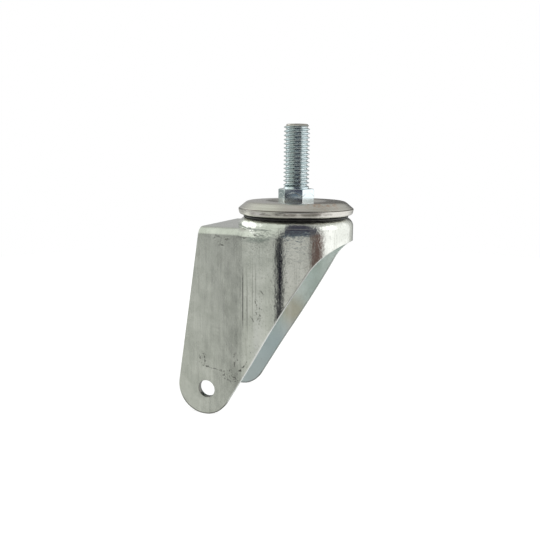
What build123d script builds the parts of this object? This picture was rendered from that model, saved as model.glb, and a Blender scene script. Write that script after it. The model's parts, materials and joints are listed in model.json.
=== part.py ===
from build123d import *
import math
import os

os.makedirs("parts", exist_ok=True)

# Swivel castor fork with a threaded stem, in millimetres. The origin is on the swivel axis at the top face
# of the hexagon, which bears on the furniture. +Z runs up the stem, +X is the front of the fork, and the
# axle hole trails behind the swivel axis towards -X.

# Stem, turned in one piece with its hexagon and the kingpin below it
thread_d = 12.6          # crest diameter of a rolled half-inch thread
thread_length = 30.6
thread_chamfer = 1.3
hex_across_flats = 15.5
hex_height = 7.2
hex_turn = 8.0           # how the hexagon happens to stand against the fork
hex_crown = 0.5          # fall of the crown chamfer at the hexagon's corners
kingpin_d = 12.0
spigot_d = 9.4           # thinner end of the kingpin that takes the lower race
rivet_head_d = 15.0
rivet_head_height = 2.4
rivet_head_edge = 0.9

# Top cap, a pressed disc that carries the upper ball track
cap_sheet = 2.6
cap_height = 6.6         # from the crown of the dome to the lower edge of the rim
cap_rise = 1.3           # the dome stands this far above the seat of the hexagon
cap_seat_d = 19.0
cap_dome_margin = 0.4    # the dome starts this far inside the upper balls
cap_slope_width = 4.4    # the slope outside the dome, seen from above
cap_rim_height = 3.0
cap_rim_tuck = 0.7       # the rim draws in this much at its lower edge
cap_rim_round = 1.2      # rounding of that edge

# Two rows of balls
upper_ball_d = 7.14
upper_circle_d = 38.0
upper_count = 9
lower_ball_d = 4.76
lower_circle_d = 25.4
lower_count = 7
track_depth = 0.42       # depth of every coined ball track
ball_play = 0.02         # free space between a ball and the bottom of its track
track_play = 0.08        # a track's radius over the ball's

# Dust seal in the slot between the cap and the fork, just outside the upper balls
seal_ball_gap = 0.9
seal_width = 2.2
seal_grip = 1.6          # height of the ring that the cap's rim holds
seal_play = 0.1          # free space between the ring and the fork

# Fork, one folded and drawn sheet
fork_sheet = 2.6
head_inset = 0.1         # the round head is this much smaller than the cap all round
head_shoulder = 2.8
fork_width = 49.4        # outside of the two legs
neck_radius = 23.5       # hollow curve from the round head into each flat leg
neck_lap = 0.05          # that curve ends this far inside the head, so that the two forms cross cleanly
web_drop = 3.2           # the flat web behind the head lies this far below the head
web_bend = 3.6           # outer radius of the fold from the web into a leg
web_back = 40.6          # the web's rear edge behind the swivel axis
kingpin_gap = 0.6        # free space around the kingpin
axle_back = 37.5         # trail of the axle behind the swivel axis
axle_drop = 84.6         # axle below the top of the head
axle_hole_d = 8.8
end_radius = 14.1        # rounded foot of each leg
end_shift_back = 1.4     # the foot's centre against the axle hole
end_shift_up = 0.7
front_lean = 30.7        # lean of the legs' front edge from upright, in degrees
lip_radius = 32.0        # curve from the front edge into the lip under the head
lip_start = 14.0         # where that curve starts, ahead of the swivel axis

# Lower race, a pressed cup riveted on the kingpin
race_sheet = 2.2
race_wall = 3.0          # height of its upturned wall above its floor
race_ball_gap = 0.35     # free space between the balls and that wall

# Radii, worked out from the upper row of balls outwards
dome_r = (upper_circle_d - upper_ball_d) / 2 - cap_dome_margin
seal_inner_r = (upper_circle_d + upper_ball_d) / 2 + seal_ball_gap
seal_outer_r = seal_inner_r + seal_width
cap_r = seal_outer_r + cap_sheet
head_r = cap_r - head_inset

# Levels, worked out from the hexagon down through the two rows of balls
cap_seat_z = -hex_height
crown_z = cap_seat_z + cap_rise
rim_z = crown_z - cap_height
upper_ball_z = crown_z - cap_sheet + track_depth - ball_play - upper_ball_d / 2
head_z = upper_ball_z - upper_ball_d / 2 - ball_play + track_depth
head_under_z = head_z - fork_sheet
web_z = head_z - web_drop
lower_ball_z = head_under_z + track_depth - ball_play - lower_ball_d / 2
race_floor_z = lower_ball_z - lower_ball_d / 2 - ball_play + track_depth
race_under_z = race_floor_z - race_sheet
axle_x = -axle_back
axle_z = head_z - axle_drop
leg_y = fork_width / 2
bottom_z = axle_z - 2 * end_radius          # clear below the feet, for blanks and cutters
blank_back = web_back + 3 * end_radius      # clear behind the feet


def turned(*points):
    """Turns an outline, given as (radius, level) points, about the swivel axis."""
    return revolve(Plane.XZ * make_face(Polyline(*points, close=True)), Axis.Z)


def pressed(points, radii, sheet, side):
    """Turns a bent line about the swivel axis, as a sheet of constant thickness on one side of the line."""
    line = FilletPolyline(*points, radius=radii)
    strip = offset(line, amount=sheet, side=side, kind=Kind.INTERSECTION, closed=True)
    return revolve(Plane.XZ * make_face(strip), Axis.Z)


def track(circle_d, ball_d, level):
    """Ring-shaped cutter that leaves a ball's track in a face."""
    return Pos(0, 0, level) * Torus(circle_d / 2, ball_d / 2 + track_play)


def upright(radius, low, high):
    """Cylinder on the swivel axis between two levels."""
    return Pos(0, 0, low) * Cylinder(radius, high - low, align=(Align.CENTER, Align.CENTER, Align.MIN))


def threaded_stem():
    thread = upright(thread_d / 2, 0, thread_length)
    thread = chamfer(thread.edges().sort_by(Axis.Z)[-1], thread_chamfer)
    hexagon = extrude(
        RegularPolygon(hex_across_flats / 2, 6, major_radius=False, rotation=hex_turn), -hex_height
    )
    corner_r = hex_across_flats / math.sqrt(3)
    crown_r = corner_r - hex_crown / math.tan(math.radians(30))
    crowned = turned(
        (0, 0), (crown_r, 0), (corner_r, -hex_crown), (corner_r, -hex_height), (0, -hex_height)
    )
    kingpin = upright(kingpin_d / 2, race_floor_z, -hex_height)
    spigot = upright(spigot_d / 2, race_under_z, race_floor_z)
    rivet_head = upright(rivet_head_d / 2, race_under_z - rivet_head_height, race_under_z)
    rivet_head = fillet(rivet_head.edges().sort_by(Axis.Z)[0], rivet_head_edge)
    return thread + (hexagon & crowned) + kingpin + spigot + rivet_head


def top_cap():
    line = [
        (kingpin_d / 2, cap_seat_z),
        (cap_seat_d / 2, cap_seat_z),
        (dome_r, crown_z),
        (cap_r - cap_slope_width, crown_z),
        (cap_r, rim_z + cap_rim_height),
        (cap_r - cap_rim_tuck, rim_z),
    ]
    disc = pressed(line, (3.0, 4.0, 4.0, 0.8), cap_sheet, Side.RIGHT)
    disc = fillet(disc.edges().sort_by(Axis.Z)[0], cap_rim_round)
    return disc - track(upper_circle_d, upper_ball_d, upper_ball_z)


def dust_seal(cap):
    """Ring that the cap's rim grips inside, and that seats under its lower edge."""
    low = head_z + seal_play
    high = rim_z + seal_grip
    ring = turned((seal_inner_r, low), (seal_outer_r, low), (seal_outer_r, high), (seal_inner_r, high))
    return ring - cap


def lower_race():
    wall_r = (lower_circle_d + lower_ball_d) / 2 + race_ball_gap
    line = [
        (spigot_d / 2, race_floor_z),
        (wall_r, race_floor_z),
        (wall_r, race_floor_z + race_wall),
    ]
    cup = pressed(line, (1.0,), race_sheet, Side.RIGHT)
    return cup - track(lower_circle_d, lower_ball_d, lower_ball_z)


def balls(count, circle_d, ball_d, level):
    """One row of separate balls around the swivel axis."""
    places = PolarLocations(circle_d / 2, count)
    return [Pos(0, 0, level) * place * Sphere(ball_d / 2) for place in places]


def fork_form(inset, reach):
    """The fork's outside (inset 0) or its inside (inset by the sheet), solid down past the feet."""
    side = leg_y - inset
    radius = head_r - inset
    lapped = radius - neck_lap
    plan = Circle(lapped) + Pos(-reach / 2, 0) * Rectangle(reach, 2 * side)
    necks = [v for v in plan.vertices() if abs(abs(v.Y) - side) < neck_lap and -lapped < v.X < -neck_lap]
    plan = fillet(necks, neck_radius + inset)
    legs = extrude(Pos(0, 0, bottom_z) * plan, web_z - inset - bottom_z)
    top_rim = [e for e in legs.faces().sort_by(Axis.Z)[-1].edges() if e.center().X > neck_lap - reach]
    legs = fillet(top_rim, web_bend - inset)
    head = upright(radius, bottom_z, head_z - inset)
    head = fillet(head.edges().sort_by(Axis.Z)[-1], head_shoulder - inset)
    return legs + head


def side_outline():
    """The fork seen from the side, as a face in X and Z: front edge, round foot, rear edge, open above."""
    lean = math.radians(front_lean)
    out = Vector(math.cos(lean), -math.sin(lean))
    up = Vector(math.sin(lean), math.cos(lean))
    foot = Vector(axle_x - end_shift_back, axle_z + end_shift_up)
    toe = foot + out * end_radius
    lip_low = toe + up * ((lip_start - toe.X) / up.X)
    lip_centre = lip_low + out * lip_radius

    def on_lip(x):
        return Vector(x, lip_centre.Y + math.sqrt(lip_radius**2 - (x - lip_centre.X) ** 2))

    front_x = head_r + cap_sheet
    lip_front = on_lip(front_x)
    lip_middle = on_lip((lip_low.X + front_x) / 2)
    corner = Vector(-web_back, web_z)
    reach = corner - foot
    turn = math.atan2(reach.Y, reach.X) + math.acos(end_radius / reach.length)
    heel = foot + Vector(math.cos(turn), math.sin(turn)) * end_radius
    top = corner + (corner - heel).normalized() * 2 * web_drop
    sole = foot - Vector(0, end_radius)
    outline = [
        Line(heel, top),
        Line(top, Vector(front_x, top.Y)),
        Line(Vector(front_x, top.Y), lip_front),
        ThreePointArc(lip_front, lip_middle, lip_low),
        Line(lip_low, toe),
        ThreePointArc(toe, sole, heel),
    ]
    return make_face(Curve() + outline)


def fork():
    sheet = fork_form(0, blank_back) - fork_form(fork_sheet, 2 * blank_back)
    sheet &= extrude(Plane.XZ * side_outline(), fork_width, both=True)
    # the upper track is pressed through, so it stands out as a low ridge on the underside
    ridge_r = upper_ball_d / 2 + track_play + fork_sheet
    ridge = Pos(0, 0, upper_ball_z) * Torus(upper_circle_d / 2, ridge_r)
    sheet += ridge & upright(head_r, head_under_z - fork_sheet, head_under_z + track_depth)
    sheet -= track(upper_circle_d, upper_ball_d, upper_ball_z)
    sheet -= track(lower_circle_d, lower_ball_d, lower_ball_z)
    sheet -= upright(kingpin_d / 2 + kingpin_gap, bottom_z, head_z + cap_sheet)
    axle_hole = Pos(axle_x, 0, axle_z) * Rot(90, 0, 0) * Cylinder(axle_hole_d / 2, 2 * fork_width)
    return sheet - axle_hole


cap = top_cap()
pieces = {
    "threaded_stem": threaded_stem(),
    "top_cap": cap,
    "dust_seal": dust_seal(cap),
    "fork": fork(),
    "lower_race": lower_race(),
}
upper_row = balls(upper_count, upper_circle_d, upper_ball_d, upper_ball_z)
lower_row = balls(lower_count, lower_circle_d, lower_ball_d, lower_ball_z)
pieces |= {f"upper_ball_{number:02d}": ball for number, ball in enumerate(upper_row, 1)}
pieces |= {f"lower_ball_{number:02d}": ball for number, ball in enumerate(lower_row, 1)}

for name, piece in pieces.items():
    export_step(piece, f"parts/{name}.step")
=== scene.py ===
"""Looks of a swivel castor fork with a threaded stem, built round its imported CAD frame."""
import json
import math

import bpy
from mathutils import Matrix, Vector


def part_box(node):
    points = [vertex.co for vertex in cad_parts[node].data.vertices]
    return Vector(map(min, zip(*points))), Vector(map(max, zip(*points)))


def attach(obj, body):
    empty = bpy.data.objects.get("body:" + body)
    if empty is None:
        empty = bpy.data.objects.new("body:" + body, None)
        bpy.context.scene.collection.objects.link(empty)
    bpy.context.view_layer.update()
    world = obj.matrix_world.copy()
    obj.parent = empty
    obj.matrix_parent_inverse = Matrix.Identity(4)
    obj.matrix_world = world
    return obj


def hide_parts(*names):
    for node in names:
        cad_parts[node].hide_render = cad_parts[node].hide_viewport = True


bl_info = {
    "name": "Swivel castor fork",
    "version": (1, 0, 0),
    "blender": (4, 5, 0),
    "location": "View3D > Sidebar > Castor",
    "description": "Threaded stem, dust seal and finishes of a zinc plated swivel castor fork",
    "category": "Object",
}

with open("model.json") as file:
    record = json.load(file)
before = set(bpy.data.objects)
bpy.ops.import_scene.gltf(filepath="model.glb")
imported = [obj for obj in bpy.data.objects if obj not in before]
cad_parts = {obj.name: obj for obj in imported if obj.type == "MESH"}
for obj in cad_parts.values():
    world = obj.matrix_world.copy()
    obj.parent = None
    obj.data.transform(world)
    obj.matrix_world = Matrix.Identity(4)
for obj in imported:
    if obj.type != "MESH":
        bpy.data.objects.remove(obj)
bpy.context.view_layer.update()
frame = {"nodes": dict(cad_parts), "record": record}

MM = 0.001
WELD = 0.002 * MM
LOW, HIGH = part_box("threaded_stem")
STEM_TOP = HIGH.z
RIVET_BOTTOM = LOW.z
CAP_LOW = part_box("top_cap")[0]
SEAL_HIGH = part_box("dust_seal")[1]
FORK_LOW, FORK_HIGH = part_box("fork")
RACE_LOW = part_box("lower_race")[0]


def linear(code):
    """Turns an sRGB hex colour into the linear colour that a shader takes."""
    parts = [int(code[i : i + 2], 16) / 255 for i in (1, 3, 5)]
    return [part / 12.92 if part <= 0.04045 else ((part + 0.055) / 1.055) ** 2.4 for part in parts]


def per_mm(size):
    """Scale of a texture whose pattern repeats every so many millimetres."""
    return 1 / (size * MM)


class StemSizes(bpy.types.PropertyGroup):
    thread_diameter: bpy.props.FloatProperty(
        name="Thread diameter", description="Over the crests", default=12.6 * MM, unit="LENGTH"
    )
    pitch: bpy.props.FloatProperty(
        name="Pitch", description="Thirteen turns to the inch", default=25.4 / 13 * MM, unit="LENGTH"
    )
    thread_depth: bpy.props.FloatProperty(
        name="Thread depth", description="From crest to root", default=1.15 * MM, unit="LENGTH"
    )
    neck_length: bpy.props.FloatProperty(
        name="Run-out", description="Plain collar under the last turn", default=1.1 * MM, unit="LENGTH"
    )
    end_chamfer: bpy.props.FloatProperty(
        name="End chamfer", description="Chamfer at the free end", default=1.3 * MM, unit="LENGTH"
    )
    helix_turn: bpy.props.FloatProperty(
        name="Helix start",
        description="Where the helix starts, seen from above",
        default=math.radians(9.5),
        subtype="ANGLE",
    )
    across_flats: bpy.props.FloatProperty(
        name="Across flats", description="Spanner size of the hexagon", default=15.5 * MM, unit="LENGTH"
    )
    hexagon_height: bpy.props.FloatProperty(
        name="Hexagon height", description="From seat to crown", default=7.2 * MM, unit="LENGTH"
    )
    hexagon_turn: bpy.props.FloatProperty(
        name="Hexagon turn", description="Turn of the hexagon", default=math.radians(8), subtype="ANGLE"
    )
    kingpin_diameter: bpy.props.FloatProperty(
        name="Kingpin", description="Pin through the head", default=12.0 * MM, unit="LENGTH"
    )
    spigot_diameter: bpy.props.FloatProperty(
        name="Spigot", description="Thinner end through the lower race", default=9.4 * MM, unit="LENGTH"
    )
    rivet_diameter: bpy.props.FloatProperty(
        name="Rivet head", description="Closed head under the lower race", default=15.0 * MM, unit="LENGTH"
    )
    colour: bpy.props.FloatVectorProperty(
        name="Plating", description="Bluish zinc plate", default=linear("#E0EAEC"), subtype="COLOR"
    )


class SealSizes(bpy.types.PropertyGroup):
    lip: bpy.props.FloatProperty(
        name="Lip", description="Rounding of the ring's outer lips", default=0.5 * MM, unit="LENGTH"
    )
    groove: bpy.props.FloatProperty(
        name="Groove", description="Depth of the groove between the lips", default=0.35 * MM, unit="LENGTH"
    )
    colour: bpy.props.FloatVectorProperty(
        name="Rubber", description="Carbon black rubber", default=linear("#1B1A19"), subtype="COLOR"
    )


class SheetFinish(bpy.types.PropertyGroup):
    colour: bpy.props.FloatVectorProperty(
        name="Plating", description="Zinc plate on the fork", default=linear("#DADCD6"), subtype="COLOR"
    )
    shade: bpy.props.FloatVectorProperty(
        name="Shaded plating",
        description="Duller patches of the plate",
        default=linear("#C3C6BF"),
        subtype="COLOR",
    )
    cap_colour: bpy.props.FloatVectorProperty(
        name="Cap", description="Warm grey of the turned cap", default=linear("#C9C7C1"), subtype="COLOR"
    )
    tarnish: bpy.props.FloatVectorProperty(
        name="Tarnish", description="Brown tint on the cap", default=linear("#AE8A72"), subtype="COLOR"
    )
    crease_level: bpy.props.FloatProperty(
        name="Crease", description="Level of the crease above the cap's rim", default=-9.3 * MM, unit="LENGTH"
    )
    # Painted light: a lighter, bluer copy of the plate colour for the light on the legs' inner faces
    inside: bpy.props.FloatVectorProperty(
        name="Inside",
        description="Duller, bluer plate inside the legs",
        default=linear("#E9F2EF"),
        subtype="COLOR",
    )
    scratch: bpy.props.FloatVectorProperty(
        name="Scratch", description="Bottom of a scratch", default=linear("#4A4842"), subtype="COLOR"
    )
    bend: bpy.props.FloatProperty(
        name="Bend",
        description="Outer radius between the head's wall and its top",
        default=2.8 * MM,
        unit="LENGTH",
    )
    crown: bpy.props.FloatProperty(
        name="Crown",
        description="Rise of the soft shoulder towards the seal",
        default=1.0 * MM,
        unit="LENGTH",
    )
    roughness: bpy.props.FloatProperty(
        name="Roughness", description="Gloss of the plate", default=0.2, min=0, max=1, subtype="FACTOR"
    )
    front_lean: bpy.props.FloatProperty(
        name="Front lean",
        description="Lean of the legs' front edge",
        default=math.radians(30.7),
        subtype="ANGLE",
    )
    foot_radius: bpy.props.FloatProperty(
        name="Foot radius", description="Round end of each leg", default=14.1 * MM, unit="LENGTH"
    )
    foot_back: bpy.props.FloatProperty(
        name="Foot back",
        description="The round end's centre behind the axle",
        default=1.4 * MM,
        unit="LENGTH",
    )
    foot_up: bpy.props.FloatProperty(
        name="Foot up", description="The round end's centre above the axle", default=0.7 * MM, unit="LENGTH"
    )
    front_reach: bpy.props.FloatProperty(
        name="Front reach",
        description="From the origin square to that edge",
        default=31.06 * MM,
        unit="LENGTH",
    )


class StudioSettings(bpy.types.PropertyGroup):
    lens: bpy.props.FloatProperty(
        name="Lens", description="Focal length", default=40.33, unit="CAMERA"
    )
    bearing: bpy.props.FloatProperty(
        name="Bearing", description="Camera's turn towards +X", default=math.radians(20.58), subtype="ANGLE"
    )
    height: bpy.props.FloatProperty(
        name="Elevation",
        description="Camera's angle above level",
        default=math.radians(10.24),
        subtype="ANGLE",
    )
    roll: bpy.props.FloatProperty(
        name="Roll", description="Camera's roll", default=math.radians(0.43), subtype="ANGLE"
    )
    distance: bpy.props.FloatProperty(
        name="Distance",
        description="Camera to the origin, along its axis",
        default=295.53 * MM,
        unit="LENGTH",
    )
    aside: bpy.props.FloatProperty(
        name="Aside",
        description="Origin to the right of the picture's middle",
        default=12.76 * MM,
        unit="LENGTH",
    )
    above: bpy.props.FloatProperty(
        name="Above", description="Origin above the picture's middle", default=39.83 * MM, unit="LENGTH"
    )
    floor_size: bpy.props.FloatProperty(
        name="Floor", description="Radius of the floor", default=0.6, unit="LENGTH"
    )


def add(tree, kind, inputs=(), out=0, **settings):
    """Adds a node with its settings, sets or links its inputs, and returns one of its outputs."""
    made = tree.nodes.new("ShaderNode" + kind)
    for key, value in settings.items():
        setattr(made, key, value)
    for key, value in dict(inputs).items():
        socket = made.inputs[key]
        if isinstance(value, bpy.types.NodeSocket):
            tree.links.new(value, socket)
        elif socket.type == "RGBA" and len(value) == 3:
            socket.default_value = (*value, 1)
        else:
            socket.default_value = value
    return made.outputs[out] if made.outputs else made


def blank_material(name):
    """A new material with nothing in it but its output."""
    made = bpy.data.materials.new(name)
    made.use_nodes = True
    made.node_tree.nodes.clear()
    return made, made.node_tree


def dress(node, material):
    """Gives a CAD node's own object a better material."""
    piece = frame["nodes"][node]
    if not piece.material_slots:
        piece.data.materials.append(material)
    for slot in piece.material_slots:
        slot.material = material


def begin(name, *place):
    """Starts a new piece as a single point, left in edit mode."""
    bpy.ops.object.select_all(action="DESELECT")
    bpy.ops.mesh.primitive_plane_add(size=MM, location=(0, 0, 0))
    piece = bpy.context.object
    piece.name = piece.data.name = name
    bpy.ops.object.mode_set(mode="EDIT")
    bpy.ops.mesh.select_all(action="SELECT")
    bpy.ops.mesh.merge(type="CENTER")
    bpy.ops.transform.translate(value=place)
    return piece


def draw_on(points):
    """Extrudes the point in hand through an outline of (radius, level) points in the XZ plane."""
    for (radius, level), (next_radius, next_level) in zip(points, points[1:]):
        step = (next_radius - radius, 0, next_level - level)
        bpy.ops.mesh.extrude_region_move(TRANSFORM_OT_translate={"value": step})


def turned(name, points, steps=96):
    """Turns a closed or axis-to-axis outline about the swivel axis, as on a lathe."""
    piece = begin(name, points[0][0], 0, points[0][1])
    draw_on(points)
    bpy.ops.mesh.select_all(action="SELECT")
    bpy.ops.mesh.spin(steps=steps, angle=math.tau, center=(0, 0, 0), axis=(0, 0, 1), use_auto_merge=True)
    bpy.ops.mesh.select_all(action="SELECT")
    bpy.ops.mesh.remove_doubles(threshold=WELD)
    bpy.ops.mesh.normals_make_consistent(inside=False)
    bpy.ops.object.mode_set(mode="OBJECT")
    return piece


def round_corner(centre, radius, start, end, steps=5):
    """Points of an arc in the outline, between two angles in degrees."""
    angles = [math.radians(start + (end - start) * i / steps) for i in range(steps + 1)]
    return [(centre[0] + radius * math.cos(a), centre[1] + radius * math.sin(a)) for a in angles]


def keep_common(piece, tool):
    """Leaves only what a piece and a tool piece share, and deletes the tool."""
    cut = piece.modifiers.new("Common", "BOOLEAN")
    cut.operation = "INTERSECT"
    cut.solver = "EXACT"
    cut.object = tool
    bpy.context.view_layer.objects.active = piece
    bpy.ops.object.modifier_apply(modifier=cut.name)
    bpy.data.objects.remove(tool)


def join(first, *others):
    """Joins pieces into the first one."""
    bpy.ops.object.select_all(action="DESELECT")
    for piece in (first, *others):
        piece.select_set(True)
    bpy.context.view_layer.objects.active = first
    bpy.ops.object.join()
    return first


def smooth(piece, degrees=24):
    """Shades a piece smooth, apart from its real edges."""
    bpy.ops.object.select_all(action="DESELECT")
    piece.select_set(True)
    bpy.context.view_layer.objects.active = piece
    bpy.ops.object.shade_smooth_by_angle(angle=math.radians(degrees))


def rolled_thread(sizes):
    """The thread: one tooth drawn in profile, then wound up the stem and cut to length."""
    crest = sizes.thread_diameter / 2
    root = crest - sizes.thread_depth
    flank = sizes.thread_depth * math.tan(math.radians(30))
    crest_flat = sizes.pitch / 8
    root_flat = sizes.pitch - crest_flat - 2 * flank
    start = -2 * sizes.pitch
    dip = 0.06 * MM
    tooth = [
        (root, start),
        (root + dip, start + 0.2 * flank),
        (crest - dip, start + flank - 0.05 * flank),
        (crest, start + flank + 0.25 * crest_flat),
        (crest, start + flank + 0.75 * crest_flat),
        (crest - dip, start + flank * 1.05 + crest_flat),
        (root + dip, start + 1.8 * flank + crest_flat),
        (root, start + 2 * flank + crest_flat),
        (root - dip, start + 2 * flank + crest_flat + root_flat / 2),
        (root, start + sizes.pitch),
    ]
    thread = begin("thread", root, 0, start)
    draw_on(tooth)
    bpy.ops.mesh.select_all(action="SELECT")
    bpy.ops.transform.rotate(value=-sizes.helix_turn, orient_axis="Z", center_override=(0, 0, 0))
    bpy.ops.object.mode_set(mode="OBJECT")
    winding = thread.modifiers.new("Turns", "SCREW")
    winding.screw_offset = sizes.pitch
    winding.iterations = math.ceil(STEM_TOP / sizes.pitch) + 4
    winding.steps = winding.render_steps = 60
    winding.use_merge_vertices = True
    winding.merge_threshold = WELD
    winding.use_normal_calculate = True
    bpy.ops.object.modifier_apply(modifier=winding.name)
    bpy.ops.object.mode_set(mode="EDIT")
    bpy.ops.mesh.select_all(action="SELECT")
    bpy.ops.mesh.remove_doubles(threshold=WELD)
    for level, above in ((0.4 * sizes.neck_length, False), (STEM_TOP + 0.2 * MM, True)):
        bpy.ops.mesh.select_all(action="SELECT")
        bpy.ops.mesh.bisect(
            plane_co=(0, 0, level),
            plane_no=(0, 0, 1),
            use_fill=True,
            clear_inner=not above,
            clear_outer=above,
            threshold=0.0001 * MM,
        )
    bpy.ops.mesh.select_all(action="SELECT")
    bpy.ops.mesh.normals_make_consistent(inside=False)
    bpy.ops.object.mode_set(mode="OBJECT")
    chamfered = turned(
        "chamfer tool",
        [
            (0, 0),
            (1.2 * crest, 0),
            (1.2 * crest, STEM_TOP - sizes.end_chamfer - 0.2 * crest),
            (crest - sizes.end_chamfer, STEM_TOP),
            (0, STEM_TOP),
        ],
    )
    keep_common(thread, chamfered)
    return thread


def hexagon(sizes):
    """The hexagon: a six-sided bar with eased corners, its crown turned to a chamfer."""
    ease = 0.5 * MM
    corner = sizes.across_flats / math.sqrt(3)
    bpy.ops.object.select_all(action="DESELECT")
    bpy.ops.mesh.primitive_cylinder_add(
        vertices=6, radius=corner, depth=sizes.hexagon_height, location=(0, 0, -sizes.hexagon_height / 2)
    )
    bar = bpy.context.object
    bar.name = "hexagon"
    bpy.ops.object.mode_set(mode="EDIT")
    bpy.ops.mesh.select_all(action="SELECT")
    first = math.atan2(bar.data.vertices[0].co.y, bar.data.vertices[0].co.x)
    bpy.ops.transform.rotate(value=first - sizes.hexagon_turn, orient_axis="Z", center_override=(0, 0, 0))
    bpy.ops.object.mode_set(mode="OBJECT")
    bpy.ops.object.transform_apply(location=True, rotation=True, scale=True)
    for edge in bar.data.edges:
        ends = [bar.data.vertices[i].co for i in edge.vertices]
        edge.select = abs(ends[0].z - ends[1].z) > 0.5 * sizes.hexagon_height
    bpy.ops.object.mode_set(mode="EDIT")
    bpy.ops.mesh.select_mode(type="EDGE")
    bpy.ops.mesh.bevel(offset=ease, segments=4)
    bpy.ops.mesh.select_mode(type="VERT")
    bpy.ops.object.mode_set(mode="OBJECT")
    crown = corner - ease / math.tan(math.radians(30))
    envelope = turned(
        "crown tool",
        [
            (0, 0),
            (crown - 0.1 * MM, 0),
            (crown + 0.03 * MM, -0.03 * MM),
            (corner, -ease),
            (corner, -sizes.hexagon_height),
            (0, -sizes.hexagon_height),
        ],
        steps=144,
    )
    keep_common(bar, envelope)
    return bar


def stem_core(sizes):
    """The collar under the thread, and below the hexagon the kingpin, its spigot and the rivet head."""
    crest = sizes.thread_diameter / 2
    root = crest - sizes.thread_depth
    rise = sizes.neck_length
    collar = turned(
        "collar",
        [(0, -0.2 * MM), (crest + 0.25 * MM, -0.2 * MM), (crest + 0.25 * MM, 0)]
        + round_corner((crest + 0.25 * MM, 0.45 * MM), 0.45 * MM, 270, 180, 4)
        + [(crest - 0.25 * MM, rise - 0.3 * MM), (root + 0.1 * MM, rise + 0.15 * MM), (0, rise + 0.15 * MM)],
    )
    pin = sizes.kingpin_diameter / 2
    spigot = sizes.spigot_diameter / 2
    head = sizes.rivet_diameter / 2
    seat = RACE_LOW.z
    floor = seat + 2.2 * MM
    crown = 0.9 * MM
    kingpin = turned(
        "kingpin",
        [
            (0, -sizes.hexagon_height + 0.2 * MM),
            (pin, -sizes.hexagon_height + 0.2 * MM),
            (pin, floor),
            (spigot, floor),
            (spigot, seat),
            (head - 0.15 * MM, seat),
            (head, seat - 0.15 * MM),
        ]
        + round_corner((head - crown, RIVET_BOTTOM + crown), crown, 0, -80, 6)
        + [(0.45 * head, RIVET_BOTTOM), (0.38 * head, RIVET_BOTTOM + 0.25 * MM)]
        + [(0, RIVET_BOTTOM + 0.3 * MM)],
    )
    return collar, kingpin


class CASTOR_OT_stem(bpy.types.Operator):
    """Models the stem with its rolled thread, hexagon, kingpin and rivet head"""

    bl_idname = "castor.stem"
    bl_label = "Threaded stem"

    def execute(self, context):
        sizes = context.scene.castor_stem
        stem = join(rolled_thread(sizes), hexagon(sizes), *stem_core(sizes))
        stem.name = stem.data.name = "stem_with_thread"
        smooth(stem)
        stem.data.materials.clear()
        stem.data.materials.append(zinc_on_steel(sizes))
        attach(stem, "stem")
        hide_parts("threaded_stem")
        return {"FINISHED"}


class CASTOR_OT_seal(bpy.types.Operator):
    """Models the rubber dust seal as a ring with two rounded lips"""

    bl_idname = "castor.seal"
    bl_label = "Dust seal"

    def execute(self, context):
        sizes = context.scene.castor_seal
        width, clear = 2.2 * MM, 0.1 * MM
        outer, inner = SEAL_HIGH.x, SEAL_HIGH.x - width
        low, high = FORK_HIGH.z + context.scene.castor_sheet.crown + clear, SEAL_HIGH.z
        lip = sizes.lip
        waist = low + 2.1 * lip
        rim = CAP_LOW.z + 0.45 * MM
        outline = [(inner, high), (inner, low), (outer - lip, low)]
        outline += round_corner((outer - lip, low + lip), lip, -90, 50, 6)
        upper = outer - 0.02 * MM
        gripped = outer - 0.75 * MM
        outline += [(outer - sizes.groove, waist), (upper, waist + 0.45 * lip), (upper, rim)]
        outline += [(gripped, rim + 0.2 * MM), (gripped, high), (inner, high)]
        ring = turned("rubber_dust_seal", outline, steps=128)
        smooth(ring)
        ring.data.materials.append(black_rubber(sizes.colour))
        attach(ring, "stem")
        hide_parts("dust_seal")
        return {"FINISHED"}


def coated(tree, tint, coats):
    """Lays coats over a tint, each as (share, strength, colour), and returns the colour on top."""
    for share, strength, over in coats:
        share = add(tree, "Math", {0: share, 1: strength}, operation="MULTIPLY")
        tint = add(tree, "Mix", {0: share, 6: tint, 7: over}, out=2, data_type="RGBA")
    return tint


def plated(made, tree, tint, gloss, normal):
    """Ends a material in bare metal and returns it."""
    surface = {"Base Color": tint, "Metallic": 1.0, "Roughness": gloss, "Normal": normal}
    add(tree, "OutputMaterial", {"Surface": add(tree, "BsdfPrincipled", surface)})
    return made


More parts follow.
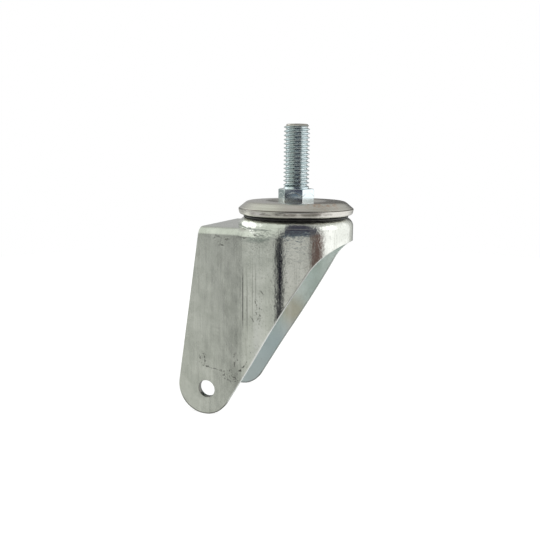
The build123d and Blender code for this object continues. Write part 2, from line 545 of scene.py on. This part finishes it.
def zinc_on_steel(sizes):
    """Bright zinc plate on cold headed steel: soft sheen on the thread, painted shade in the roots, a glossy
    hexagon.
    """
    made, tree = blank_material("zinc plated steel, cold headed and thread rolled")
    place = add(tree, "TexCoord", out="Object")
    level = add(tree, "SeparateXYZ", {"Vector": place}, out="Z")
    flat = add(tree, "VectorMath", {0: place, 1: (1, 1, 0)}, operation="MULTIPLY")
    radius = add(tree, "VectorMath", {0: flat}, out="Value", operation="LENGTH")
    on_thread = add(tree, "MapRange", {"Value": level, "From Min": 0.0, "From Max": 1 * MM})
    on_hexagon = add(tree, "Math", {0: 1.0, 1: on_thread}, operation="SUBTRACT")
    patches = add(tree, "TexNoise", {"Vector": place, "Scale": per_mm(5), "Detail": 3})
    marks = add(tree, "TexNoise", {"Vector": place, "Scale": per_mm(1.6), "Detail": 4, "Roughness": 0.6})
    grain = add(tree, "TexNoise", {"Vector": place, "Scale": per_mm(0.35), "Detail": 2})
    root = sizes.thread_diameter / 2 - sizes.thread_depth
    root_end, flank = root + 0.1 * MM, root + 0.6 * MM
    # Painted shade: the thread's roots, from the flanks inwards, are darkened where shade falls between the
    # teeth
    root_shade = add(tree, "MapRange", {"Value": radius, "From Min": flank, "From Max": root_end})
    below_end = add(tree, "Math", {0: level, 1: STEM_TOP - 0.1 * MM}, operation="LESS_THAN")
    for limit in (on_thread, below_end):
        root_shade = add(tree, "Math", {0: root_shade, 1: limit}, operation="MULTIPLY")
    end_start, end_full = STEM_TOP - 1.6 * MM, STEM_TOP - 0.9 * MM
    at_end = add(tree, "MapRange", {"Value": level, "From Min": end_start, "From Max": end_full})
    tint = coated(
        tree,
        sizes.colour,
        (
            (patches, 1.0, linear("#C4D3D7")),
            (on_hexagon, 1.0, linear("#D8E2E5")),
            # painted shade in the roots
            (root_shade, 0.36, linear("#6E675C")),
            (at_end, 0.8, linear("#A39C93")),
        ),
    )
    glossy = {"Value": marks, "From Min": 0.3, "From Max": 0.75, "To Min": 0.12, "To Max": 0.28}
    gloss = add(tree, "MapRange", glossy)
    softer = 0.08
    gloss = add(tree, "Math", {0: on_thread, 1: softer, 2: gloss}, operation="MULTIPLY_ADD")
    crown_slope = 1.7
    cone = add(tree, "Math", {0: radius, 1: crown_slope, 2: level}, operation="MULTIPLY_ADD")
    middle, half_width = sizes.across_flats / 2 * crown_slope - 1.8 * MM, 0.25 * MM
    arch = {"Value": cone, "From Min": middle - half_width, "From Max": middle + half_width}
    arch = add(tree, "MapRange", arch)
    step = add(tree, "Bump", {"Height": arch, "Strength": 1.0, "Distance": 0.08 * MM})
    dents = add(tree, "MapRange", {"Value": on_thread, "To Min": 0.5, "To Max": 0.2})
    rise = add(tree, "Bump", {"Height": marks, "Strength": dents, "Distance": 0.05 * MM, "Normal": step})
    bump = add(tree, "Bump", {"Height": grain, "Strength": 0.1, "Distance": 0.02 * MM, "Normal": rise})
    return plated(made, tree, tint, gloss, bump)


def black_rubber(colour):
    """Moulded nitrile rubber: nearly black, matte, with a little grease on it and grey specks that are partly
    dust, partly painted glints.
    """
    made, tree = blank_material("nitrile rubber, moulded")
    place = add(tree, "TexCoord", out="Object")
    dust = add(tree, "TexNoise", {"Vector": place, "Scale": per_mm(1.2), "Detail": 4, "Roughness": 0.7})
    specks = add(tree, "TexNoise", {"Vector": place, "Scale": per_mm(0.5), "Detail": 2})
    # Grey specks: partly dust, partly painted glints
    dust_and_glints = add(tree, "Math", {0: dust, 1: specks}, operation="MULTIPLY")
    dust_and_glints = add(tree, "MapRange", {"Value": dust_and_glints, "From Min": 0.3, "From Max": 0.4})
    tint = coated(tree, colour, [(dust_and_glints, 0.6, linear("#5A5950"))])
    glossy = {"Value": dust, "From Min": 0.3, "From Max": 0.7, "To Min": 0.35, "To Max": 0.6}
    gloss = add(tree, "MapRange", glossy)
    bump = add(tree, "Bump", {"Height": dust, "Strength": 0.4, "Distance": 0.05 * MM})
    surface = {"Base Color": tint, "Roughness": gloss, "IOR": 1.52, "Normal": bump}
    add(tree, "OutputMaterial", {"Surface": add(tree, "BsdfPrincipled", surface)})
    return made


# Cracked and flaked plate on the outside, as (x, y, z, half length, half width, turn in degrees), in
# millimetres: a ragged chain low on the near leg, rub marks under the web, down the wall and by the shoulder
WEAR = (
    (-38.5, -24.7, -83.6, 4.4, 0.7, 86),
    (-40.7, -24.7, -83.9, 3.4, 0.6, 66),
    (-37.0, -24.7, -87.7, 3.6, 0.6, 8),
    (-33.0, -24.7, -88.3, 3.8, 0.6, 10),
    (-28.4, -24.7, -88.9, 3.6, 0.8, -1),
    (-24.6, -24.7, -88.1, 3.0, 0.7, -20),
    (-22.3, -24.7, -85.1, 3.2, 0.7, -79),
    (-21.9, -24.7, -80.2, 3.8, 0.7, -66),
    (-20.8, -24.7, -82.6, 2.6, 0.6, -30),
    (-27.6, -24.7, -92.0, 2.8, 0.7, 80),
    (-27.9, -24.7, -90.5, 2.0, 0.6, 133),
    (-22.5, -24.7, -91.8, 3.0, 0.6, 40),
    (-22.5, -24.7, -92.3, 3.4, 0.6, 116),
    (-25.2, -24.7, -93.4, 2.2, 0.5, 20),
    (-16.8, -24.7, -84.4, 4.4, 0.7, -53),
    (-19.2, -24.7, -87.6, 2.4, 0.7, -20),
    (-13.5, -24.7, -77.7, 2.0, 0.6, 66),
    (-30.8, -24.7, -21.9, 3.8, 0.6, 25),
    (-25.9, -24.7, -23.3, 3.8, 0.6, 7),
    (-29.0, -24.7, -26.1, 3.6, 0.5, 12),
    (-17.4, -24.6, -22.2, 5.0, 0.8, -6),
    (-10.6, -26.1, -53.0, 4.4, 0.6, 62),
    (-9.0, -26.8, -59.5, 5.0, 0.6, -70),
    (-12.4, -25.6, -61.0, 3.4, 0.6, 58),
    (-7.0, -27.4, -47.4, 2.6, 0.6, 40),
    (-11.0, -26.0, -21.0, 4.0, 0.7, 10),
)

# Spots with fine pecks in the plate, in the same order
PECKED = (
    (-22.8, -24.7, -91.2, 5.0, 3.6, 20),
    (-39.5, -24.7, -84.0, 5.4, 3.2, 80),
    (-9.6, -26.6, -56.5, 8.0, 4.0, 80),
    (-29.0, -24.7, -24.0, 6.0, 3.0, 10),
    (-11.5, -25.8, -24.5, 8.0, 4.5, 20),
)

# Lines that the drawing die scored down the near wall, as (x, y, z, half width, half length), in millimetres
SCORES = (
    (-17.6, -24.6, -52.0, 0.5, 22),
    (-15.4, -24.8, -56.0, 0.45, 20),
    (-12.6, -25.4, -50.0, 0.4, 24),
    (-10.6, -26.1, -44.0, 0.35, 13),
)


def blot(tree, place, centre, size, turn=0.0):
    """Share of a soft egg-shaped spot, one at its centre and none at its edge."""
    spot = add(
        tree,
        "Mapping",
        {
            "Vector": place,
            "Location": [part * MM for part in centre],
            "Rotation": (0, math.radians(turn), 0),
            "Scale": [part * MM for part in size],
        },
        vector_type="TEXTURE",
    )
    return add(tree, "TexGradient", {"Vector": spot}, out="Fac", gradient_type="SPHERICAL")


def embossed(tree, reliefs):
    """Normal of a sheet with eased edges under several reliefs, each as (height, strength, depth in mm)."""
    normal = add(tree, "Bevel", {"Radius": 0.3 * MM}, samples=6)
    for height, strength, depth in reliefs:
        relief = {"Height": height, "Strength": strength, "Distance": depth * MM, "Normal": normal}
        normal = add(tree, "Bump", relief)
    return normal


def strongest(tree, place, spots):
    """Share of the strongest of several spots, given as (centre, size, turn)."""
    shares = [blot(tree, place, *spot) for spot in spots]
    most = shares[0]
    for share in shares[1:]:
        most = add(tree, "Math", {0: most, 1: share}, operation="MAXIMUM")
    return most


def scored_lines(tree, place):
    """Share of the few long scores down the near wall."""
    depth = 2.0
    lines = [((x, y, z), (width, depth, length)) for x, y, z, width, length in SCORES]
    scored = strongest(tree, place, lines)
    return add(tree, "MapRange", {"Value": scored, "From Min": 0.1, "From Max": 0.6})


def flaked_lines(tree, place, marks):
    """Share of thin, ragged, broken lines: spots narrower than the noise that makes them wander."""
    wander = add(
        tree, "TexNoise", {"Vector": place, "Scale": per_mm(1.5), "Detail": 4, "Roughness": 0.7}, out="Color"
    )
    wander = add(tree, "VectorMath", {0: wander, 1: (0.5, 0.5, 0.5)}, operation="SUBTRACT")
    wander = add(tree, "VectorMath", {0: wander, "Scale": 3.0 * MM}, operation="SCALE")
    bent = add(tree, "VectorMath", {0: place, 1: wander}, operation="ADD")
    worn, pecked = (
        strongest(tree, bent, [(row[:3], (row[3], depth, row[4]), row[5]) for row in rows])
        for rows, depth in ((marks, 2.5), (PECKED, 3.0))
    )
    line = add(tree, "MapRange", {"Value": worn, "From Min": 0.4, "From Max": 0.65})
    breaks = add(tree, "TexNoise", {"Vector": place, "Scale": per_mm(0.7), "Detail": 2})
    broken = add(tree, "MapRange", {"Value": breaks, "From Min": 0.44, "From Max": 0.52})
    line = add(tree, "Math", {0: line, 1: broken}, operation="MULTIPLY")
    pecked = add(tree, "MapRange", {"Value": pecked, "From Min": 0.05, "From Max": 0.4, "To Max": 0.14})
    pecks = add(tree, "Math", {0: breaks, 1: pecked}, operation="ADD")
    pecks = add(tree, "MapRange", {"Value": pecks, "From Min": 0.75, "From Max": 0.8, "To Max": 0.75})
    return add(tree, "Math", {0: line, 1: pecks}, operation="MAXIMUM")


def fork_zones(tree, place, settings):
    """Shares of the drawn head, inside, holes' wall, sheared edge and far side, then the place in X and Z."""
    parts = tree.nodes.new("ShaderNodeSeparateXYZ")
    tree.links.new(place, parts.inputs[0])
    along, sideways, level = parts.outputs
    flat_place = add(tree, "VectorMath", {0: place, 1: (1, 1, 0)}, operation="MULTIPLY")
    from_axis = add(tree, "VectorMath", {0: flat_place}, out="Value", operation="LENGTH")
    upright = add(tree, "VectorMath", {0: place, 1: (1, 0, 1)}, operation="MULTIPLY")
    axle = next(mount["pos_m"] for mount in frame["record"]["mounts"] if mount["name"] == "axle_bore")
    foot = (axle[0] - settings.foot_back, 0, axle[2] + settings.foot_up)
    from_axle, from_foot = (
        add(tree, "VectorMath", {0: upright, 1: middle}, out="Value", operation="DISTANCE")
        for middle in ((axle[0], 0, axle[2]), foot)
    )
    lean = settings.front_lean
    ahead_by = add(
        tree,
        "VectorMath",
        {0: place, 1: (math.cos(lean), 0, -math.sin(lean))},
        out="Value",
        operation="DOT_PRODUCT",
    )
    from_cut = add(tree, "Math", {0: ahead_by, 1: settings.front_reach}, operation="SUBTRACT")
    from_cut = add(tree, "Math", {0: from_cut}, operation="ABSOLUTE")
    from_middle = add(tree, "Math", {0: sideways}, operation="ABSOLUTE")
    foot_edge = settings.foot_radius / MM - 0.7
    foot_level = foot[2] / MM
    # Each share grows from none to one between two values in millimetres
    leg_inside, head_inside, under, bore, sheared, ahead, by_foot, low_down, below_lip, far = (
        add(tree, "MapRange", {"Value": value, "From Min": none * MM, "From Max": full * MM})
        for value, none, full in (
            (from_middle, 23.6, 23.0),
            (from_axis, 27.0, 26.4),
            (level, -20.4, -22.0),
            (from_axle, 4.6, 4.42),
            (from_cut, 0.5, 0.2),
            (along, -12, -9),
            (from_foot, foot_edge, foot_edge + 0.5),
            (level, foot_level - 5, foot_level - 8),
            (level, -32, -38),
            (sideways, 0, 1),
        )
    )
    drawn = {"Value": along, "From Min": -20.5 * MM, "From Max": -15 * MM, "To Min": 0.2}
    drawn = add(tree, "MapRange", drawn)
    inside = add(tree, "Mix", {0: ahead, 2: leg_inside, 3: head_inside}, out=0, data_type="FLOAT")
    inside, by_foot, sheared = (
        add(tree, "Math", {0: share, 1: limit}, operation="MULTIPLY")
        for share, limit in ((inside, under), (by_foot, low_down), (sheared, below_lip))
    )
    bore = add(tree, "Math", {0: bore, 1: by_foot}, operation="MAXIMUM")
    return drawn, inside, bore, sheared, far, along, level


def pressed_zinc(settings, name, marks=()):
    """Bright zinc plate on pressed steel: soft reflections, drawing streaks, dull patches and scratches, with
    a painted highlight and painted shade on the sheared edge, painted shade in the axle hole and painted
    light inside the legs.
    """
    made, tree = blank_material(name)
    place = add(tree, "TexCoord", out="Object")
    drawn, inside, bore, sheared, far, along, level = fork_zones(tree, place, settings)
    patches, pits, ripple, uneven = (
        add(tree, "TexNoise", {"Vector": place, "Scale": per_mm(size), "Detail": detail, "Roughness": rough})
        for size, detail, rough in ((9, 5, 0.62), (1.1, 2, 0.6), (6.5, 1, 0.5), (2.4, 3, 0.6))
    )
    tall = add(tree, "Mapping", {"Vector": place, "Scale": (1, 1, 0.04)})
    streaks = add(tree, "TexNoise", {"Vector": tall, "Scale": per_mm(1.3), "Detail": 6, "Roughness": 0.7})
    patched = add(tree, "MapRange", {"Value": patches, "From Min": 0.35, "From Max": 0.68})
    streaked = add(tree, "MapRange", {"Value": streaks, "From Min": 0.52, "From Max": 0.75})
    specked = add(tree, "MapRange", {"Value": pits, "From Min": 0.58, "From Max": 0.7})
    tarnished = blot(tree, place, (-8, 24, -69), (17, 9, 12), 58)
    tarnished = add(tree, "MapRange", {"Value": tarnished, "From Min": 0.1, "From Max": 0.7})
    low_down = add(tree, "MapRange", {"Value": level, "From Min": -70 * MM, "From Max": -84 * MM})
    high_up = add(tree, "MapRange", {"Value": level, "From Min": -66 * MM, "From Max": -50 * MM})
    # Painted highlight and shade on the sheared edge: near-white low on the near side, dark grey on the far
    # side and high up
    edge_shaded = add(tree, "Math", {0: far, 1: high_up}, operation="MAXIMUM")
    rim = add(tree, "Mix", {0: edge_shaded, 6: linear("#F0F2EE"), 7: linear("#8F918B")}, out=2, data_type="RGBA")
    by_web = add(tree, "MapRange", {"Value": along, "From Min": 4 * MM, "From Max": -9 * MM})
    bottom = add(tree, "MapRange", {"Value": by_web, "To Min": -20.8 * MM, "To Max": -24.5 * MM})
    fall = add(tree, "MapRange", {"Value": by_web, "To Min": 1.0, "To Max": 2.4})
    falling = {"Value": level, "From Min": bottom, "From Max": -15.5 * MM}
    falling = add(tree, "MapRange", falling, interpolation_type="SMOOTHSTEP")
    falling = add(tree, "Math", {0: falling, 1: fall}, operation="MULTIPLY")
    shoulder = {"Value": level, "From Min": -27 * MM, "From Max": -20 * MM, "To Min": 0.35}
    shoulder = add(tree, "MapRange", shoulder)
    uneven = add(tree, "Math", {0: uneven, 1: shoulder}, operation="MULTIPLY")
    streaked, specked, falling, uneven, drawn_lines, pitted = (
        add(tree, "Math", {0: share, 1: drawn}, operation="MULTIPLY")
        for share in (streaked, specked, falling, uneven, streaks, pits)
    )
    # Painted light inside the legs: a lighter, bluer copy of the plate, darker and bluer towards the bottom,
    # with tarnish and mottling over it
    lining_coats = (
        (tarnished, 0.8, linear("#C3BDA6")),
        (patched, 0.45, linear("#BFC3BA")),
        (low_down, 0.8, linear("#CFDBDF")),
    )
    coats = [
        (patched, 1.0, settings.shade),
        (streaked, 0.5, linear("#A3A49B")),
        (specked, 0.3, linear("#83837D")),
        (inside, 1.0, coated(tree, settings.inside, lining_coats)),
        # painted highlight and shade on the sheared edge
        (sheared, 0.7, rim),
        # painted shade in the axle hole; the same dark colour also runs along the foot's rounded edge
        (bore, 0.85, linear("#4E4A45")),
    ]
    reliefs = [
        (ripple, 1.0, 0.1),
        (falling, 1.0, -0.5),
        (uneven, 1.0, 0.16),
        (drawn_lines, 0.5, 0.05),
        (pitted, 0.8, 0.07),
    ]
    if marks:
        scores, flakes = scored_lines(tree, place), flaked_lines(tree, place, marks)
        coats += [(scores, 0.45, linear("#777872")), (flakes, 0.9, settings.scratch)]
        reliefs += [(scores, 0.5, -0.06), (flakes, 0.6, -0.06)]
    tint = coated(tree, settings.colour, coats)
    normal = embossed(tree, reliefs)
    glossiest, dullest = settings.roughness - 0.05, settings.roughness + 0.13
    glossy = {"Value": streaks, "From Min": 0.3, "From Max": 0.75, "To Min": glossiest, "To Max": dullest}
    gloss = add(tree, "MapRange", glossy)
    polish = add(tree, "MapRange", {"Value": drawn, "From Min": 0.2, "To Max": -0.06})
    gloss = add(tree, "Math", {0: gloss, 1: polish}, operation="ADD")
    gloss = add(tree, "Mix", {0: inside, 2: gloss, 3: 0.42}, out=0, data_type="FLOAT")
    return plated(made, tree, tint, gloss, normal)


def turned_zinc(settings):
    """Zinc plate on a turned cap: fine rings, a crease above the rim with painted shade in it, dark patches
    on the rim's front that are partly dirt and partly a painted reflection, and a warm tint from handling.
    """
    made, tree = blank_material("zinc plated steel, turned")
    place = add(tree, "TexCoord", out="Object")
    flat = add(tree, "VectorMath", {0: place, 1: (1, 1, 0)}, operation="MULTIPLY")
    radius = add(tree, "VectorMath", {0: flat}, out="Value", operation="LENGTH")
    level = add(tree, "SeparateXYZ", {"Vector": place}, out="Z")
    across = add(tree, "CombineXYZ", {"X": radius, "Z": level})
    along_rim = add(tree, "Mapping", {"Vector": place, "Scale": (0.5, 0.5, 1)})
    rings, patches, pits, dirt_and_reflection = (
        add(tree, "TexNoise", {"Vector": space, "Scale": per_mm(size), "Detail": detail, "Roughness": rough})
        for space, size, detail, rough in (
            (across, 0.9, 5, 0.75),
            (place, 2.6, 5, 0.75),
            (place, 1.0, 3, 0.7),
            (along_rim, 2.2, 4, 0.7),
        )
    )
    handled = strongest(tree, place, (((16, -15, -5.5), (16, 13, 4.5)), ((2, -9, -6.5), (15, 9, 5))))
    in_front = blot(tree, place, (10, -26, -10.5), (28, 14, 5))
    # Each share grows from a least one to one between two values
    handled, in_front, rusted, ringed, dirt_and_reflection, above_rim, outer = (
        add(tree, "MapRange", {"Value": value, "From Min": none, "From Max": full, "To Min": least})
        for value, none, full, least in (
            (handled, 0.0, 0.5, 0.08),
            (in_front, 0.0, 0.4, 0.15),
            (patches, 0.48, 0.62, 0.0),
            (rings, 0.4, 0.7, 0.0),
            (dirt_and_reflection, 0.44, 0.56, 0.0),
            (level, -10.2 * MM, -9.6 * MM, 0.0),
            (radius, 26 * MM, 27 * MM, 0.0),
        )
    )
    bands = []
    # The crease band is darkened with painted shade as well as sunk in the bump
    crease_level = settings.crease_level
    for middle, full, none in ((crease_level, 0.14, 0.3), (crease_level - 1.4 * MM, 0.3, 0.9)):
        gap = add(tree, "Math", {0: level, 1: middle}, operation="SUBTRACT")
        gap = add(tree, "Math", {0: gap}, operation="ABSOLUTE")
        bands.append(add(tree, "MapRange", {"Value": gap, "From Min": none * MM, "From Max": full * MM}))
    crease, on_rim = bands
    limits = ((ringed, above_rim), (rusted, handled), (crease, outer), (on_rim, outer), (dirt_and_reflection, in_front))
    ringed, rusted, crease, on_rim, dirt_and_reflection = (
        add(tree, "Math", {0: share, 1: limit}, operation="MULTIPLY") for share, limit in limits
    )
    # Dark patches on the rim's front: partly dirt, partly a painted reflection of the dark head
    rim_dirt_and_reflection = add(tree, "Math", {0: on_rim, 1: dirt_and_reflection}, operation="MULTIPLY")
    coats = (
        (ringed, 0.8, linear("#A8A49D")),
        (rusted, 0.6, settings.tarnish),
        # partly dirt, partly painted reflection
        (rim_dirt_and_reflection, 0.75, linear("#6E6A64")),
        # painted shade in the crease
        (crease, 0.9, linear("#4A443D")),
    )
    tint = coated(tree, settings.cap_colour, coats)
    glossy = {"Value": rings, "From Min": 0.3, "From Max": 0.75, "To Min": 0.2, "To Max": 0.36}
    gloss = add(tree, "MapRange", glossy)
    normal = embossed(tree, ((crease, 1.0, -0.1), (rings, 0.5, 0.04), (pits, 0.4, 0.04)))
    return plated(made, tree, tint, gloss, normal)


def greased_ball():
    """Polished bearing steel under a thin film of grease: mirror-like, a little yellow and smeared."""
    made, tree = blank_material("bearing steel, polished and greased")
    place = add(tree, "TexCoord", out="Object")
    film = add(tree, "TexNoise", {"Vector": place, "Scale": per_mm(2.5), "Detail": 3})
    tint = coated(tree, linear("#D4D2CC"), [(film, 1.0, linear("#9C8F72"))])
    glossy = {"Value": film, "From Min": 0.35, "From Max": 0.7, "To Min": 0.06, "To Max": 0.3}
    gloss = add(tree, "MapRange", glossy)
    metal = add(tree, "BsdfPrincipled", {"Base Color": tint, "Metallic": 1.0, "Roughness": gloss})
    add(tree, "OutputMaterial", {"Surface": metal})
    return made


def soft_shoulder(settings):
    """A closed ring on the head's bend that carries its wall up to the seal in one tall, soft curve."""
    bend = settings.bend
    centre = (FORK_HIGH.x - bend, FORK_HIGH.z - bend)
    leaves_at, clear, stretch = 15, 0.01 * MM, 2.0 * MM
    slope = math.radians(leaves_at)
    first = Vector(centre) + (bend + clear) * Vector((math.cos(slope), math.sin(slope)))
    pull = first + stretch * Vector((-math.sin(slope), math.cos(slope)))
    last = Vector((SEAL_HIGH.x - 0.2 * MM, FORK_HIGH.z + settings.crown))
    steps = 12
    curve = []
    for t in (i / steps for i in range(steps + 1)):
        curve.append(tuple((1 - t) ** 2 * first + 2 * t * (1 - t) * pull + t * t * last))
    ledge, sunk, inside_sheet = last.x - 1.2 * MM, FORK_HIGH.z - 0.5 * MM, 0.65 * bend
    hidden = [(ledge, last.y), (ledge, sunk)]
    hidden += round_corner(centre, inside_sheet, 90, leaves_at, 4)
    ring = turned("fork_head_shoulder", curve + hidden + curve[:1], steps=192)
    smooth(ring)
    return ring


class CASTOR_OT_fork(bpy.types.Operator):
    """Finishes the fork and the lower race in worn zinc plate and models the head's soft shoulder"""

    bl_idname = "castor.fork"
    bl_label = "Fork and race"

    def execute(self, context):
        settings = context.scene.castor_sheet
        plate = pressed_zinc(settings, "zinc plated steel, pressed", WEAR)
        dress("fork", plate)
        ring = soft_shoulder(settings)
        ring.data.materials.append(plate)
        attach(ring, "fork")
        dress("lower_race", pressed_zinc(settings, "zinc plated steel, pressed cup"))
        return {"FINISHED"}


class CASTOR_OT_cap(bpy.types.Operator):
    """Finishes the top cap in turned and tarnished zinc plate"""

    bl_idname = "castor.cap"
    bl_label = "Top cap"

    def execute(self, context):
        dress("top_cap", turned_zinc(context.scene.castor_sheet))
        return {"FINISHED"}


class CASTOR_OT_balls(bpy.types.Operator):
    """Finishes both rows of balls in greased bearing steel"""

    bl_idname = "castor.balls"
    bl_label = "Balls"

    def execute(self, context):
        steel = greased_ball()
        for node in frame["nodes"]:
            if "_ball_" in node:
                dress(node, steel)
        return {"FINISHED"}


# Soft panels of light round the object, each over the ones before it, as (colour, strength, bearing,
# half width, edge, elevation, half height, edge) in degrees; a bearing is 0 towards -Y and grows towards +X
PANELS = (
    ("#E9EBE4", 0.9, -38, 30, 10, -30, 17, 7),
    ("#F0F5EC", 1.1, -69, 57, 8, 40, 31, 6),
    ("#9AA29D", 0.9, -85, 52, 10, 1, 6, 3),
    ("#FFFFFF", 2.4, -96, 20, 7, 24, 14, 6),
    ("#FFFFFF", 0.85, -82, 30, 12, -30, 13, 6),
    ("#FFFFFF", 0.5, -160, 24, 8, 10, 17, 8),
    ("#FFFFFF", 1.42, 112, 42, 9, -6, 46, 14),
    ("#FFFFFF", 2.3, 96, 17, 6, 30, 13, 6),
    ("#FFFFFF", 0.12, 187, 11, 4, 6, 20, 8),
    ("#FFFFFF", 0.78, 180, 18, 6, -24, 12, 5),
    ("#85849A", 0.32, 27, 37, 6, 43, 47, 4),
    ("#8D9CA9", 0.60, 27, 37, 5, 1, 5, 3),
    ("#F6F4F0", 0.85, 0, 180, 1, 86, 10, 4),
    ("#D1D0CC", 1.16, 22, 26, 6, -36, 31, 3),
    ("#33304E", 0.2, -13.5, 8.5, 1.5, -12, 18, 5),
    ("#63504B", 1.3, 61, 12, 5, -12, 16, 6),
)


def studio_world():
    """White to the camera; to the metal, a soft studio with a lit side left and right and a dim front."""
    world = bpy.data.worlds.new("studio")
    world.use_nodes = True
    tree = world.node_tree
    tree.nodes.clear()
    ray = add(tree, "TexCoord", out="Generated")
    parts = tree.nodes.new("ShaderNodeSeparateXYZ")
    tree.links.new(ray, parts.inputs[0])
    x, y, z = parts.outputs
    back = add(tree, "Math", {0: y, 1: -1.0}, operation="MULTIPLY")
    turn = add(tree, "Math", {0: x, 1: back}, operation="ARCTAN2")
    bearing = add(tree, "Math", {0: turn}, operation="DEGREES")
    lift = add(tree, "Math", {0: z}, operation="ARCSINE")
    elevation = add(tree, "Math", {0: lift}, operation="DEGREES")
    light = (0.625, 0.635, 0.605)
    for colour, strength, side, half_width, side_edge, up, half_height, up_edge in PANELS:
        shares = []
        for angle, middle, half, edge in (
            (bearing, side, half_width, side_edge),
            (elevation, up, half_height, up_edge),
        ):
            offset = add(tree, "Math", {0: angle, 1: middle}, operation="SUBTRACT")
            wrapped = add(tree, "Math", {0: offset, 1: 180.0, 2: -180.0}, operation="WRAP")
            size = add(tree, "Math", {0: wrapped}, operation="ABSOLUTE")
            fade = {"Value": size, "From Min": half + edge, "From Max": half - edge}
            shares.append(add(tree, "MapRange", fade, interpolation_type="SMOOTHSTEP"))
        share = add(tree, "Math", {0: shares[0], 1: shares[1]}, operation="MULTIPLY")
        glow = [part * strength for part in linear(colour)]
        light = add(tree, "Mix", {0: share, 6: light, 7: glow}, out=2, data_type="RGBA")
    studio = add(tree, "Background", {"Color": light, "Strength": 1.0})
    white = add(tree, "Background", {"Color": (1, 1, 1, 1), "Strength": 1.0})
    seen = add(tree, "LightPath", out="Is Camera Ray")
    both = add(tree, "MixShader", {0: seen, 1: studio, 2: white})
    add(tree, "OutputWorld", {"Surface": both})
    bpy.context.scene.world = world


def studio_floor(radius):
    """A pale floor that keeps a soft shadow and is clear to reflections, which see the studio."""
    bpy.ops.object.select_all(action="DESELECT")
    bpy.ops.mesh.primitive_circle_add(
        vertices=96, radius=radius, fill_type="NGON", location=(0, 0, FORK_LOW.z)
    )
    floor = bpy.context.object
    floor.name = "studio_floor"
    bpy.ops.object.transform_apply(location=True, rotation=True, scale=True)
    made, tree = blank_material("white card floor")
    paths = tree.nodes.new("ShaderNodeLightPath")
    card = add(tree, "BsdfDiffuse", {"Color": (0.8, 0.8, 0.8, 1)})
    shaded = add(tree, "BsdfDiffuse", {"Color": (0.3, 0.3, 0.3, 1)})
    glow = add(tree, "Emission", {"Color": (1, 1, 1, 1), "Strength": 0.8})
    seen = add(tree, "AddShader", {0: shaded, 1: glow})
    surface = add(tree, "MixShader", {0: paths.outputs["Is Camera Ray"], 1: card, 2: seen})
    clear = add(tree, "BsdfTransparent")
    under = add(tree, "NewGeometry", out="Backfacing")
    passing = add(tree, "Math", {0: paths.outputs["Is Glossy Ray"], 1: under}, operation="MAXIMUM")
    surface = add(tree, "MixShader", {0: passing, 1: surface, 2: clear})
    add(tree, "OutputMaterial", {"Surface": surface})
    floor.data.materials.append(made)


def studio_lamp(name, place, aim, size, power):
    """One soft box that gives form and shadow, left out of the reflections, which the studio world gives."""
    data = bpy.data.lights.new(name, "AREA")
    data.shape = "SQUARE"
    data.size = size
    data.energy = power
    lamp = bpy.data.objects.new(name, data)
    bpy.context.scene.collection.objects.link(lamp)
    lamp.location = place
    lamp.rotation_euler = (Vector(aim) - Vector(place)).to_track_quat("-Z", "Y").to_euler()
    lamp.visible_glossy = False


class CASTOR_OT_stage(bpy.types.Operator):
    """Sets up the floor, the studio light and the camera of the photograph"""

    bl_idname = "castor.stage"
    bl_label = "Stage"

    def execute(self, context):
        settings = context.scene.castor_studio
        studio_world()
        studio_floor(settings.floor_size)
        studio_lamp("key soft box", place=(0.5, -0.35, 0.55), aim=(0, 0, -0.05), size=0.5, power=6.0)
        turn, tilt, roll = settings.bearing, settings.height, settings.roll
        back = Vector((math.sin(turn) * math.cos(tilt), -math.cos(turn) * math.cos(tilt), math.sin(tilt)))
        level = Vector((math.cos(turn), math.sin(turn), 0))
        upright = back.cross(level)
        right = math.cos(roll) * level + math.sin(roll) * upright
        up = back.cross(right)
        data = bpy.data.cameras.new("camera")
        data.lens = settings.lens
        data.sensor_width = 36.0
        data.clip_start = 0.01
        camera = bpy.data.objects.new("camera", data)
        context.scene.collection.objects.link(camera)
        place = settings.distance * back - settings.aside * right - settings.above * up
        camera.matrix_world = Matrix.Translation(place) @ Matrix((right, up, back)).transposed().to_4x4()
        context.scene.camera = camera
        context.scene.view_settings.view_transform = "Standard"
        return {"FINISHED"}


OPERATORS = (CASTOR_OT_stem, CASTOR_OT_seal, CASTOR_OT_cap, CASTOR_OT_fork, CASTOR_OT_balls, CASTOR_OT_stage)
GROUPS = {
    "castor_stem": StemSizes,
    "castor_seal": SealSizes,
    "castor_sheet": SheetFinish,
    "castor_studio": StudioSettings,
}


class CASTOR_PT_panel(bpy.types.Panel):
    """Lists the castor's pieces and their settings"""

    bl_label = "Swivel castor fork"
    bl_idname = "CASTOR_PT_panel"
    bl_space_type = "VIEW_3D"
    bl_region_type = "UI"
    bl_category = "Castor"

    def draw(self, context):
        for name, group in GROUPS.items():
            box = self.layout.box()
            for key in group.__annotations__:
                box.prop(getattr(context.scene, name), key)
        for operator in OPERATORS:
            self.layout.operator(operator.bl_idname)


def register():
    for group in GROUPS.values():
        bpy.utils.register_class(group)
    for name, group in GROUPS.items():
        setattr(bpy.types.Scene, name, bpy.props.PointerProperty(type=group))
    for operator in OPERATORS:
        bpy.utils.register_class(operator)
    bpy.utils.register_class(CASTOR_PT_panel)


def unregister():
    bpy.utils.unregister_class(CASTOR_PT_panel)
    for operator in reversed(OPERATORS):
        bpy.utils.unregister_class(operator)
    for name in GROUPS:
        delattr(bpy.types.Scene, name)
    for group in GROUPS.values():
        bpy.utils.unregister_class(group)


def main():
    register()
    bpy.ops.castor.stage()
    bpy.ops.castor.stem()
    bpy.ops.castor.seal()
    bpy.ops.castor.cap()
    bpy.ops.castor.fork()
    bpy.ops.castor.balls()


if __name__ == "__main__":
    main()
